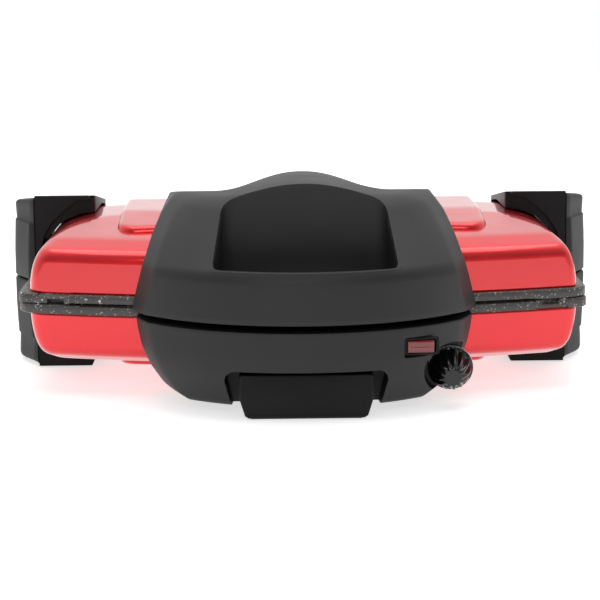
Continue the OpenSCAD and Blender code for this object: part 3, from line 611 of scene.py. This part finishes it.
# %% [markdown]
# ## The lid cover
# The black cover is a height over the plan: the least of a bowed front slope, a side slope, a
# bevelled corner, a rear slope and a flat top, with a hump added behind the pocket. The grid
# runs outwards from the pocket's edge, so both the opening and the outer edge are clean lines.

# %% Height of the cover
COVER_AXIS = np.array([0.0, -15.0])     # the middle of the front's bow
FACET = 9.5                             # width of the corner facet, seen from the front
FACET_YAW = math.radians(21)            # its turn from the side towards the front
HUMP_HALF = 66.0                        # half the width of the hump
TOP = 151.6
front_line = rounded_curve([(150.6, 30, 0), (149.0, 102, 14), (97, 149.6, 34), (60, 151.4, 60),
                            (0, TOP, 0)])
side_line = rounded_curve([(127.5, 50, 0), (124.6, 73, 20), (116.4, 103, 40), (110.4, 122, 30),
                           (104.9, 135, 20), (96.5, 146.4, 14), (87, 151.0, 10), (0, TOP, 0)])
rear_line = rounded_curve([(113.5, 40, 0), (112, 124, 4), (100, 132.6, 10), (-57, 151.3, 60),
                           (-200, TOP, 0)])
crest_line = rounded_curve([(113, 120, 0), (84, 132, 10), (0, 159.5, 50), (-44, 161.6, 60),
                            (-96, 160.8, 30), (-200, 158.8, 0)])


# Where the corner facet lies at each height, measured along its own normal.
levels = np.linspace(50, 151.2, 140)
facet_at = reach(side_line, levels) - FACET
facet_y = COVER_AXIS[1] - np.sqrt(np.maximum(reach(front_line, levels) ** 2 - facet_at ** 2, 0))
facet_far = facet_at * math.cos(FACET_YAW) - facet_y * math.sin(FACET_YAW)


def hump(x, y):
    """Bell across the width that lifts the sloping top to the crest line; it stops in front
    of the pocket's rear wall."""
    bell = 0.5 + 0.5 * np.cos(math.pi * np.clip(np.abs(x) / HUMP_HALF, 0, 1) ** 1.1)
    lift = np.maximum(drop(crest_line, y) - drop(rear_line, y), 0)
    return bell * lift * smooth((y + 128.0) / 30.0)


def cover_height(x, y):
    """Height of the cover over a plan point."""
    r = np.hypot(x - COVER_AXIS[0], y - COVER_AXIS[1])
    r = np.where(y > COVER_AXIS[1], np.abs(x), r)
    along_normal = np.abs(x) * math.cos(FACET_YAW) - y * math.sin(FACET_YAW)
    corner = np.interp(along_normal, facet_far[::-1], levels[::-1], left=TOP, right=50)
    return soft_least([drop(front_line, r), drop(side_line, np.abs(x)),
                       np.where(y < 0, corner, TOP), drop(rear_line, y)], 0.35) + hump(x, y)


# %% The cover's skin
POCKET_CENTRE = np.array([0.0, -122.0])
POCKET_FLOOR = 79.0
rays = np.linspace(-math.pi, math.pi, 440, endpoint=False)
ray = np.stack([np.cos(rays), np.sin(rays)], 1)


def pocket_outline(side, rear, bar):
    """Opening of the grip pocket: bowed along the front bar, round at the rear."""
    r = 149.5 - bar
    xs = np.linspace(-side, side, 15)
    front = [(x, COVER_AXIS[1] - math.sqrt(r * r - x * x), 9 if abs(x) == side else 0)
             for x in xs]
    return even(rounded_loop(front + [(side - 7, -rear, 12), (7 - side, -rear, 12)], 8), 600)


def level_radius(z):
    """Distance along each ray to where the cover's height falls to z."""
    s = np.linspace(30, 300, 700)
    x = POCKET_CENTRE[0] + np.outer(ray[:, 0], s)
    y = POCKET_CENTRE[1] + np.outer(ray[:, 1], s)
    below = cover_height(x, y) - hump(x, y) < z
    first = below.argmax(1)
    h = (cover_height(x, y) - hump(x, y))[np.arange(len(rays))[:, None],
                                          np.stack([first - 1, first], 1)]
    t = (h[:, 0] - z) / np.maximum(h[:, 0] - h[:, 1], 1e-6)
    return s[first - 1] + t * (s[1] - s[0])


def along(radius):
    """Plan points on the rays at the given distances."""
    return POCKET_CENTRE + ray * np.reshape(radius, (-1, 1))


def cover():
    """Rings from the middle of the pocket's floor up its wall, over its edge, across the
    cover, and down the outer wall."""
    edge = polar(pocket_outline(65.0, 94.0, 5.0), POCKET_CENTRE, rays)
    foot = polar(pocket_outline(67.5, 95.5, 4.0), POCKET_CENTRE, rays)
    lip = edge + 0.45
    rim_z = cover_height(*along(edge).T)
    rings = []
    for share in (0.04, 0.4, 0.8):
        rings.append(at_height(along(foot * share), POCKET_FLOOR))
    for inset, rise in ((6, 0), (3, 0.8), (1, 2.6), (0.2, 5)):
        rings.append(at_height(along(foot - inset), POCKET_FLOOR + rise))
    for t in (0.25, 0.5, 0.75, 0.96):
        rings.append(at_height(along(foot + (edge - foot) * t),
                               POCKET_FLOOR + 5 + (rim_z - POCKET_FLOOR - 5.5) * t))
    rings.append(at_height(along(edge + 0.08), rim_z - 0.35))
    rings.append(at_height(along(edge + 0.2), rim_z - 0.1))
    wall_top = level_radius(96.0)
    for k in 0.5 - 0.5 * np.cos(np.linspace(0, math.pi, 62)):
        at = along(lip + (wall_top - lip) * k)
        rings.append(at_height(at, cover_height(*at.T)))
    outside = BOW_R - np.hypot(*(along(wall_top) - [0, BOW_R - FRONT]).T) < 3
    for z in (90.0, 84.0, 78.0, 73.0, 69.6, 68.9):
        rings.append(at_height(along(level_radius(z) - (0.5 if z == 68.9 else 0)),
                               np.where(outside, z, 96 - (96 - z) * 0.1)))
    return loft(rings, "fan", "open")


piece("lid_cover_skin", cover(), textured_black, "lid", ["lid_cover"],
      (0, -60, 110), 40, wall=2.6)

# %% [markdown]
# ## The front panel
# The panel is a stack of level outlines that follow the same bow as the cover and narrow
# towards the bottom. The alcove for the foot, the pocket for the switch and the scoop for the
# knob are cut out of the finished solid, because they cross its curved faces at an angle.

# %% The panel's solid
panel_front = rounded_curve([(150.1, 66, 0), (149.2, 38, 40), (134.0, 8, 10), (126, 7.4, 0)])[::-1]
panel_side = rounded_curve([(122.4, 66, 0), (121, 55, 20), (118, 42.5, 20), (112, 28.5, 20),
                            (103, 15.5, 14), (92, 7.6, 10), (84, 7.3, 0)])[::-1]


def panel_ring(z, inset=0.0):
    """Level outline of the panel: bowed front, bevelled corners, straight sides."""
    r = np.interp(z, panel_front[:, 1], panel_front[:, 0]) - inset
    s = np.interp(z, panel_side[:, 1], panel_side[:, 0]) - inset
    x = np.linspace(-(s - FACET), s - FACET, 73)
    front = np.stack([x, COVER_AXIS[1] - np.sqrt(r * r - x * x)], 1)
    y = front[-1, 1]
    far = y + FACET / math.tan(FACET_YAW)
    right = [(s - 0.5, far - 1.6), (s, far + 0.6)] + [(s, v) for v in np.linspace(far + 3, -46, 8)]
    back = [(v, -45.5) for v in np.linspace(s - 1, 1 - s, 12)]
    left = [(-a, b) for a, b in right[::-1]]
    return at_height(np.concatenate([front, right, back, left]), z)


def panel_solid():
    """The stack of outlines from the underside to the top."""
    zs = np.concatenate([[7.4, 7.6, 8.0, 8.6], np.linspace(9.6, 62.4, 40)])
    return loft([panel_ring(7.4, 4.0)] + [panel_ring(z) for z in zs]
                + [panel_ring(63.2, 0.15), panel_ring(63.7, 0.7)])


def solid_object(name, part):
    """A loose mesh object that only serves as a cutter or a blank."""
    mesh = bpy.data.meshes.new(name)
    mesh.from_pydata((part[0] * MM).tolist(), [], part[1])
    mesh.update()
    if sum(p.area * p.normal.dot(p.center - mesh.vertices[0].co) for p in mesh.polygons) < 0:
        mesh.flip_normals()
    made = bpy.data.objects.new(name, mesh)
    bpy.context.scene.collection.objects.link(made)
    return made


def cut(part, *tools):
    """Points and faces of a solid with the tools cut out of it."""
    blank = solid_object("blank", part)
    cutters = [solid_object("cutter", tool) for tool in tools]
    for cutter in cutters:
        step = blank.modifiers.new("cut", "BOOLEAN")
        step.operation, step.solver, step.object = "DIFFERENCE", "EXACT", cutter
    graph = bpy.context.evaluated_depsgraph_get()
    mesh = bpy.data.meshes.new_from_object(blank.evaluated_get(graph))
    points = np.zeros(len(mesh.vertices) * 3)
    mesh.vertices.foreach_get("co", points)
    faces = [list(p.vertices) for p in mesh.polygons]
    for made in [blank] + cutters:
        bpy.data.objects.remove(made)
    return points.reshape(-1, 3) / MM, faces


def frame_of(origin, out, up=(0, 0, 1)):
    """Origin and the three unit arrows of a tilted work plane; the third points out."""
    w = np.array(out, float) / np.linalg.norm(out)
    u = np.cross(up, w)
    u /= np.linalg.norm(u)
    return np.array(origin, float), np.stack([u, np.cross(w, u), w])


def placed(part, place):
    """Points given in a tilted work plane, moved to where that plane is."""
    return place[0] + part[0] @ place[1], part[1]


# %% The panel with its openings
KNOB = frame_of((105.0, -103.724, 27.0), (0, -math.cos(math.radians(8)),
                                        -math.sin(math.radians(8))))
SCOOP = frame_of((103.5, -104.2, 29.0), (0.06, -1, -0.03))
YAW = math.radians(12)
SWITCH = frame_of((81.0, -138.5, 49.5), (math.sin(YAW), -math.cos(YAW), 0))


def y_solid(outline, front, back, flare=0.0):
    """A solid with an X-Z outline between two depths, wider by flare at the front."""
    loop = np.asarray(outline, float)
    rings = []
    for y, grow in ((back, 0.0), (front, flare)):
        at = grown(loop, grow)
        rings.append(np.column_stack([at[:, 0], np.full(len(at), y), at[:, 1]]))
    return loft(rings)


def disc(profile, columns=96):
    """Turned solid in a work plane: radius and height of each ring."""
    a = np.linspace(0, 2 * math.pi, columns, endpoint=False)
    return loft([np.stack([r * np.cos(a), r * np.sin(a), np.full(columns, float(h))], 1)
                 for r, h in profile])


alcove = rounded_loop([(-49, -6, 0), (49, -6, 0), (57.5, 33.6, 6), (-57.5, 33.6, 6)], 6)
switch_pocket = outline_solid(rounded_loop([(-14, -7.3, 2), (14, -7.3, 2), (14, 7.3, 2),
                                            (-14, 7.3, 2)]), [(0, -1.2), (0, 40)])
scoop = disc([(18.6, 0.0), (19.6, 1.0), (20.6, 22.0), (22.5, 34.0), (26, 50)])
front_panel = cut(panel_solid(), y_solid(alcove, -175, -122.6, 3.0),
                  placed(switch_pocket, SWITCH), placed(scoop, SCOOP))
piece("front_panel_skin", front_panel, textured_black, "base",
      ["front_panel"], (0, -100, 40), 28)

# %% [markdown]
# ## The foot, the switch and the knob
# The foot is a block with stepped lower edges. The knob is a surface of turning whose radius
# swings between a ridge line and a valley line thirteen times around.

# %% The foot
foot_side = [(40.6, 1.0, 1), (43.2, 2.6, 1), (44.0, 5.0, 1), (46.8, 14, 3), (47, 32.6, 2)]
foot_loop = rounded_loop([(-x, z, r) for x, z, r in foot_side]
                         + [(x, z, r) for x, z, r in foot_side[::-1]], 4)[::-1]
foot_rings = [np.column_stack([grown(foot_loop, -d)[:, 0], np.full(len(foot_loop), y),
                               grown(foot_loop, -d)[:, 1]])
              for d, y in ((0, -122.8), (0, -149.6), (0.5, -150.6), (1.4, -151))]
piece("foot_block", loft(foot_rings), smooth_black, "base", ["front_foot"],
      (0, -136, 16), 40)

# %% The switch
def key_solid(half_w, half_h):
    """The rocking key: a shallow V along its length with rounded edges."""
    loop = rounded_loop([(-half_w, -half_h, 0.8), (half_w, -half_h, 0.8),
                         (half_w, half_h, 0.8), (-half_w, half_h, 0.8)], 4)
    rings = [at_height(grown(loop, -0.2), -2.0)]
    for inset in (0.0, 0.25, 0.8, 2.0, 3.6):
        at = grown(loop, -inset)
        top = 5.0 + 1.5 * (np.abs(at[:, 0]) / half_w) ** 1.4 - (0.5 if inset == 0 else 0)
        rings.append(at_height(at, top - (0.12 if inset == 0.25 else 0)))
    return loft(rings, "flat", "fan")


tilt = math.radians(-8)
tip = np.array([[math.cos(tilt), 0, -math.sin(tilt)], [0, 1, 0],
                [math.sin(tilt), 0, math.cos(tilt)]])
key_part = key_solid(9.4, 4.3)
key_part = (key_part[0] @ tip + [0, 0, -3.0], key_part[1])
piece("switch_key", placed(key_part, SWITCH), red_lens, "rocker",
      ["rocker_switch"], None, 40)
bezel_loop = rounded_loop([(-13, -6.3, 1.6), (13, -6.3, 1.6), (13, 6.3, 1.6), (-13, 6.3, 1.6)])
hole = rounded_loop([(-10.4, -4.6, 1.0), (10.4, -4.6, 1.0), (10.4, 4.6, 1.0),
                     (-10.4, 4.6, 1.0)])
bezel_rows = [at_height(bezel_loop, 0.0), at_height(bezel_loop, 1.5),
              at_height(grown(bezel_loop, -0.35), 1.95), at_height(grown(hole, 0.3), 1.95),
              at_height(hole, 1.6), at_height(hole, 0.0), at_height(bezel_loop, 0.0)]
piece("switch_frame", placed(loft(bezel_rows, "open", "open"), SWITCH), smooth_black, "base",
      ["switch_bezel"], None, 40)

# %% The knob
FLUTES = 13


def knob_skin():
    """Radius at angle a and height h: valley + (ridge - valley) * w, where w is a rounded
    wave of the angle with one crest a flute."""
    h = np.array([1.2, 1.5, 2.6, 3.0, 3.2, 4.0, 6, 8, 10, 12, 14, 16, 18, 19.5, 20.6, 21.5,
                  22.2, 22.6, 22.8])
    ridge = np.array([15.6, 16.2, 16.3, 15.9, 15.2, 15.0, 14.7, 14.3, 13.9, 13.4, 12.8, 12.1,
                      11.1, 10.2, 9.2, 8.0, 6.9, 6.1, 5.6])
    valley = np.array([15.6, 16.2, 16.3, 15.9, 14.6, 13.7, 12.9, 12.2, 11.6, 11.0, 10.4, 9.7,
                       8.8, 8.2, 7.6, 7.0, 6.3, 5.9, 5.5])
    a = np.linspace(0, 2 * math.pi, FLUTES * 24, endpoint=False)
    wave = (0.5 + 0.5 * np.cos(FLUTES * a)) ** 0.8
    r = valley[:, None] + (ridge - valley)[:, None] * wave
    body = np.stack([r * np.cos(a), r * np.sin(a), np.broadcast_to(h[:, None], r.shape)], 2)
    hub = [np.stack([q * np.cos(a), q * np.sin(a), np.full(len(a), k)], 1)
           for q, k in ((5.2, 22.9), (4.2, 22.8), (1.0, 22.8))]
    return loft(np.concatenate([body, np.stack(hub)]))


piece("knob", placed(knob_skin(), KNOB), glossy_black, "knob",
      ["control_knob"], None, 50)

# %% [markdown]
# ## The outer covers of the legs
# Each leg has a smooth outer cover with a full round front corner. A band in the middle stands
# slightly proud, and the ends are stepped back. The same stack of outlines serves all four.

# %% Leg covers
def leg_cover(fall):
    """Level outlines of a right cover from the parting plane to its top, which falls by fall
    from front to rear: above the band each height is lowered in that proportion."""
    def outline(grow):
        return rounded_loop([(209.6, 40.3, 0.6), (215.2 + grow, 45.5 - grow, 10),
                             (230.2 + grow, 74, 26), (230.2 + grow, 150.2, 3),
                             (209.6, 150.4, 0.6)], 8)
    rows = []
    for z, grow in ((69.4, -0.8), (69.9, -0.1), (71, 0.7), (90, 0.6), (104, 0.1), (114.6, -0.4),
                    (115.4, -1.2), (116.4, -1.5), (126, -1.1), (131.4, -1.0), (134.0, -1.6),
                    (135.4, -3.4), (135.9, -6.0)):
        at = outline(grow)
        back = np.clip((at[:, 1] - 44) / 106.5, 0, 1)
        rows.append(at_height(at, z - fall * back * np.clip((z - 116.4) / 19.5, 0, 1)))
    return loft(rows)


for part_name, body, flip in (("lid_leg_cover", "lid", False), ("base_leg_cover", "base", True)):
    for side, swap in (("right", False), ("left", True)):
        part = mirrored(leg_cover(0.0), 2, MIDDLE) if flip else leg_cover(16.0)
        part = mirrored(part, 0) if swap else part
        piece(f"{part_name}_skin_{side}", part, smooth_black, body,
              [f"{part_name}_{side}"], None, 40)

# %% [markdown]
# ## What stays as the CAD model has it
# Screws, pins, pads, rods and the pieces inside already have their right shape. They only get
# the finish of their real counterpart.

# %% Finishes for the CAD nodes
kept = {
    smooth_black: ["base_leg_left", "base_leg_right", "lid_leg_left", "lid_leg_right",
                   "cord_gland", "switch_housing"],
    textured_black: ["handle_underside"],
    rubber: ["front_foot_pad", "rear_foot_pads"],
    rod_sheath: ["lower_element", "upper_element"],
    sheet_metal: ["lower_reflector", "upper_reflector"],
    bright_steel: ["lower_element_clips", "upper_element_clips", "knob_ring",
                   "thermostat_shaft", "panel_screws", "base_leg_screws", "hinge_pins",
                   "lid_leg_screws"],
    cream_moulding: ["thermostat", "terminal_block", "thermal_fuse"],
}
for material, names in kept.items():
    for name in names:
        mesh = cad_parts[name].data
        mesh.materials.clear()
        mesh.materials.append(material)
print("kept:", sum(len(names) for names in kept.values()))

# %% [markdown]
# ## Floor, light and camera
# The photograph has a white studio ground with a soft shadow. The floor and the world are white
# to the camera and in reflections, though the floor keeps some shadow near the grill. As a light
# the world is dimmer, most of all towards the front, and two large lamps do the rest.

# %% Floor
floor_loop = [(-4000, -2500), (4000, -2500), (4000, 4000), (-4000, 4000)]
floor_mesh = bpy.data.meshes.new("floor")
floor_mesh.from_pydata([(x * MM, y * MM, 0) for x, y in floor_loop], [], [[0, 1, 2, 3]])
floor = bpy.data.objects.new("floor", floor_mesh)
bpy.context.scene.collection.objects.link(floor)
floor_paint, floor_tree, floor_shader = finish("floor_paint", (0.86, 0.86, 0.865), 0.55)
floor_grain = effect(floor_tree, GRAIN, Scale=40.0, Cloud=3.0)
clouded(floor_tree, floor_shader, floor_grain, 0.5, 0.6, (0.85, 0.85, 0.855),
        (0.87, 0.87, 0.872))
floor_mesh.materials.append(floor_paint)
glow = floor_tree.nodes.new("ShaderNodeLightPath")
away = floor_tree.nodes.new("ShaderNodeVectorMath")
away.operation = "LENGTH"
floor_tree.links.new(floor_tree.nodes.new("ShaderNodeTexCoord").outputs["Object"],
                     away.inputs[0])
fade = floor_tree.nodes.new("ShaderNodeMapRange")
fade.inputs["From Min"].default_value, fade.inputs["From Max"].default_value = 0.2, 0.6
fade.inputs["To Min"].default_value, fade.inputs["To Max"].default_value = 0.65, 1.0
floor_tree.links.new(away.outputs["Value"], fade.inputs["Value"])
floor_shader.inputs["Emission Color"].default_value = (1, 1, 1, 1)
lit = maths(floor_tree, "MAXIMUM", glow.outputs["Is Camera Ray"],
            maths(floor_tree, "MAXIMUM", glow.outputs["Is Glossy Ray"],
                  glow.outputs["Is Transmission Ray"]))
floor_tree.links.new(maths(floor_tree, "MULTIPLY", lit, fade.outputs[0]),
                     floor_shader.inputs["Emission Strength"])

# %% World
world = bpy.data.worlds.new("studio")
bpy.context.scene.world = world
world.use_nodes = True
sky = world.node_tree
sky_light = sky.nodes["Background"]
sky_light.inputs["Color"].default_value = (1, 1, 1, 1)
path = sky.nodes.new("ShaderNodeLightPath")
seen = maths(sky, "MAXIMUM", path.outputs["Is Camera Ray"],
             maths(sky, "MAXIMUM", path.outputs["Is Glossy Ray"],
                   path.outputs["Is Transmission Ray"]))
split = sky.nodes.new("ShaderNodeSeparateXYZ")
sky.links.new(sky.nodes.new("ShaderNodeTexCoord").outputs["Generated"], split.inputs[0])
room = sky.nodes.new("ShaderNodeMapRange")
room.interpolation_type = "SMOOTHSTEP"
room.inputs["From Min"].default_value, room.inputs["From Max"].default_value = -0.95, 0.25
room.inputs["To Min"].default_value, room.inputs["To Max"].default_value = 0.22, 1.0
sky.links.new(split.outputs["Y"], room.inputs["Value"])
level = maths(sky, "ADD", maths(sky, "MULTIPLY", seen, 0.62), 0.38)
unseen = maths(sky, "MULTIPLY", level, room.outputs[0])
sky.links.new(maths(sky, "MAXIMUM", unseen, path.outputs["Is Camera Ray"]),
              sky_light.inputs["Strength"])

# %% Lamps
def softbox(name, at, towards, size, power):
    """A large square lamp that looks at a point."""
    lamp = bpy.data.lights.new(name, "AREA")
    lamp.shape, lamp.size, lamp.size_y, lamp.energy = "RECTANGLE", size[0], size[1], power
    holder = bpy.data.objects.new(name, lamp)
    bpy.context.scene.collection.objects.link(holder)
    place, arrows = frame_of(at, np.array(at) - np.array(towards), (0, 1, 0.01))
    matrix = np.eye(4)
    matrix[:3, :3], matrix[:3, 3] = arrows.T, place
    holder.matrix_world = Matrix(matrix.tolist())
    return holder


softbox("softbox_top", (0, 0.1, 1.7), (0, 0, 0.1), (1.8, 1.4), 16)
softbox("softbox_front", (-0.2, -2.2, 1.2), (0, 0, 0.08), (1.8, 0.9), 12)

# %% Camera
AIM = np.array([0, 0.11, 0.3106])       # a point on the camera's axis seen from above, in m
BACK = 1.558                            # how far the camera stands back from it, in m
camera = bpy.data.objects.new("camera", bpy.data.cameras.new("camera"))
bpy.context.scene.collection.objects.link(camera)
pitch, roll, yaw = math.radians(9.853), math.radians(0.45), math.radians(0.9)
ahead = np.array([math.sin(yaw), math.cos(yaw), 0])
right0 = np.array([math.cos(yaw), -math.sin(yaw), 0])
up0 = math.sin(pitch) * ahead + [0, 0, math.cos(pitch)]
right = math.cos(roll) * right0 - math.sin(roll) * up0
up = math.sin(roll) * right0 + math.cos(roll) * up0
pose = np.eye(4)
pose[:3, :3] = np.stack([right, up, np.cross(right, up)], 1)
pose[:3, 3] = AIM - BACK * ahead
camera.matrix_world = Matrix(pose.tolist())
camera.data.lens, camera.data.sensor_width = 114.0, 36.0
camera.data.clip_start = 0.05
bpy.context.scene.camera = camera
bpy.context.scene.view_settings.view_transform = "Standard"

# %% The end
bpy.context.view_layer.update()
